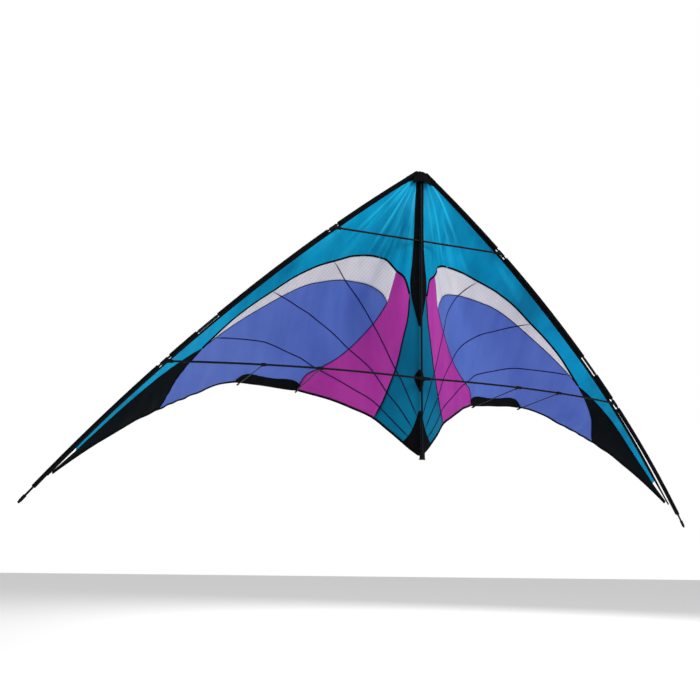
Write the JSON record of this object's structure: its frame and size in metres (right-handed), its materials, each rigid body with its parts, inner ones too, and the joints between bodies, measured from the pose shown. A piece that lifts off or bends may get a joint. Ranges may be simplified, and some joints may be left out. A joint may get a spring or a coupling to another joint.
{
  "type": "delta kite",
  "caption": "Two-line sport delta kite: swept carbon frame with a tee, spreaders and standoffs carrying a billowed ripstop sail of sewn colour panels.",
  "frame": {"origin": "on the spine's axis, level with the sockets of the centre tee", "axes": "+X along the span to the right wing as the flyer sees it, +Y away from the flyer through the sail, +Z along the spine to the nose"},
  "size_m": [2.1848, 0.331, 1.0878],
  "materials": {
    "carbon_rod": "pultruded and wrapped carbon-fibre tube",
    "carbon_ferrule": "ground carbon sleeve",
    "moulded_rubber": "moulded black elastomer",
    "moulded_plastic": "black nylon",
    "teal_ripstop": "ripstop nylon",
    "deep_teal_ripstop": "ripstop nylon",
    "white_mesh": "open scrim laminate",
    "blue_ripstop": "ripstop nylon",
    "magenta_ripstop": "ripstop nylon",
    "black_ripstop": "ripstop nylon",
    "black_webbing": "woven polyester reinforcement"
  },
  "bodies": {
    "frame": {"spine": "carbon_rod", "centre_tee": "moulded_rubber", "tail_cap": "moulded_plastic", "upper_spreader": "carbon_rod"},
    "left_wing": {"left_accent_panel": "magenta_ripstop", "left_centre_tape": "black_webbing", "left_edge_patch": "black_webbing", "left_edge_sleeve": "black_webbing", "left_keel_panel": "deep_teal_ripstop", "left_leading_panel": "teal_ripstop", "left_main_panel": "blue_ripstop", "left_mesh_panel": "white_mesh", "left_nose_cover": "black_webbing", "left_tail_patch": "black_webbing", "left_tee_patch": "black_webbing", "left_tip_panel": "black_ripstop", "left_trailing_hem": "black_webbing", "left_upper_spar": "carbon_rod", "left_lower_spar": "carbon_rod", "left_ferrule": "carbon_ferrule", "left_upper_fitting": "moulded_rubber", "left_tip_nock": "moulded_plastic", "left_inner_holder": "moulded_plastic", "left_outer_holder": "moulded_plastic"},
    "left_spreader": {"left_lower_spreader": "carbon_rod", "left_lower_fitting": "moulded_rubber"},
    "left_inner_standoff": {"left_inner_standoff": "carbon_rod", "left_inner_clip": "moulded_plastic"},
    "left_outer_standoff": {"left_outer_standoff": "carbon_rod", "left_outer_clip": "moulded_plastic"},
    "right_wing": {"right_accent_panel": "magenta_ripstop", "right_centre_tape": "black_webbing", "right_edge_patch": "black_webbing", "right_edge_sleeve": "black_webbing", "right_keel_panel": "deep_teal_ripstop", "right_leading_panel": "teal_ripstop", "right_main_panel": "blue_ripstop", "right_mesh_panel": "white_mesh", "right_nose_cover": "black_webbing", "right_tail_patch": "black_webbing", "right_tee_patch": "black_webbing", "right_tip_panel": "black_ripstop", "right_trailing_hem": "black_webbing", "right_upper_spar": "carbon_rod", "right_lower_spar": "carbon_rod", "right_ferrule": "carbon_ferrule", "right_upper_fitting": "moulded_rubber", "right_tip_nock": "moulded_plastic", "right_inner_holder": "moulded_plastic", "right_outer_holder": "moulded_plastic"},
    "right_spreader": {"right_lower_spreader": "carbon_rod", "right_lower_fitting": "moulded_rubber"},
    "right_inner_standoff": {"right_inner_standoff": "carbon_rod", "right_inner_clip": "moulded_plastic"},
    "right_outer_standoff": {"right_outer_standoff": "carbon_rod", "right_outer_clip": "moulded_plastic"}
  },
  "joints": [
    {"name": "left_wing_fold", "type": "hinge", "parent": "frame", "child": "left_wing", "pos_m": [0, 0.0128, 0], "axis": [0, 0, -1], "range_deg": [0, 40]},
    {"name": "left_spreader_swing", "type": "hinge", "parent": "left_wing", "child": "left_spreader", "pos_m": [-0.75096, 0.07803, 0.00038], "axis": [-0.6721, 0.1575, -0.7235], "range_deg": [0, 60]},
    {"name": "left_inner_standoff_swing", "type": "hinge", "parent": "left_spreader", "child": "left_inner_standoff", "pos_m": [-0.323, -0.01538, 0.00017], "axis": [-0.9961, 0.0886, 0.0005], "range_deg": [0, 80]},
    {"name": "left_outer_standoff_swing", "type": "hinge", "parent": "left_spreader", "child": "left_outer_standoff", "pos_m": [-0.484, 0.00656, 0.00025], "axis": [-0.9835, 0.1811, 0.0005], "range_deg": [0, 80]},
    {"name": "right_wing_fold", "type": "hinge", "parent": "frame", "child": "right_wing", "pos_m": [0, 0.0128, 0], "axis": [0, 0, 1], "range_deg": [0, 40]},
    {"name": "right_spreader_swing", "type": "hinge", "parent": "right_wing", "child": "right_spreader", "pos_m": [0.75096, 0.07803, 0.00038], "axis": [-0.6721, -0.1575, 0.7235], "range_deg": [0, 60]},
    {"name": "right_inner_standoff_swing", "type": "hinge", "parent": "right_spreader", "child": "right_inner_standoff", "pos_m": [0.323, -0.01538, 0.00017], "axis": [-0.9961, -0.0886, -0.0005], "range_deg": [0, 80]},
    {"name": "right_outer_standoff_swing", "type": "hinge", "parent": "right_spreader", "child": "right_outer_standoff", "pos_m": [0.484, 0.00656, 0.00025], "axis": [-0.9835, -0.1811, -0.0005], "range_deg": [0, 80]}
  ]
}
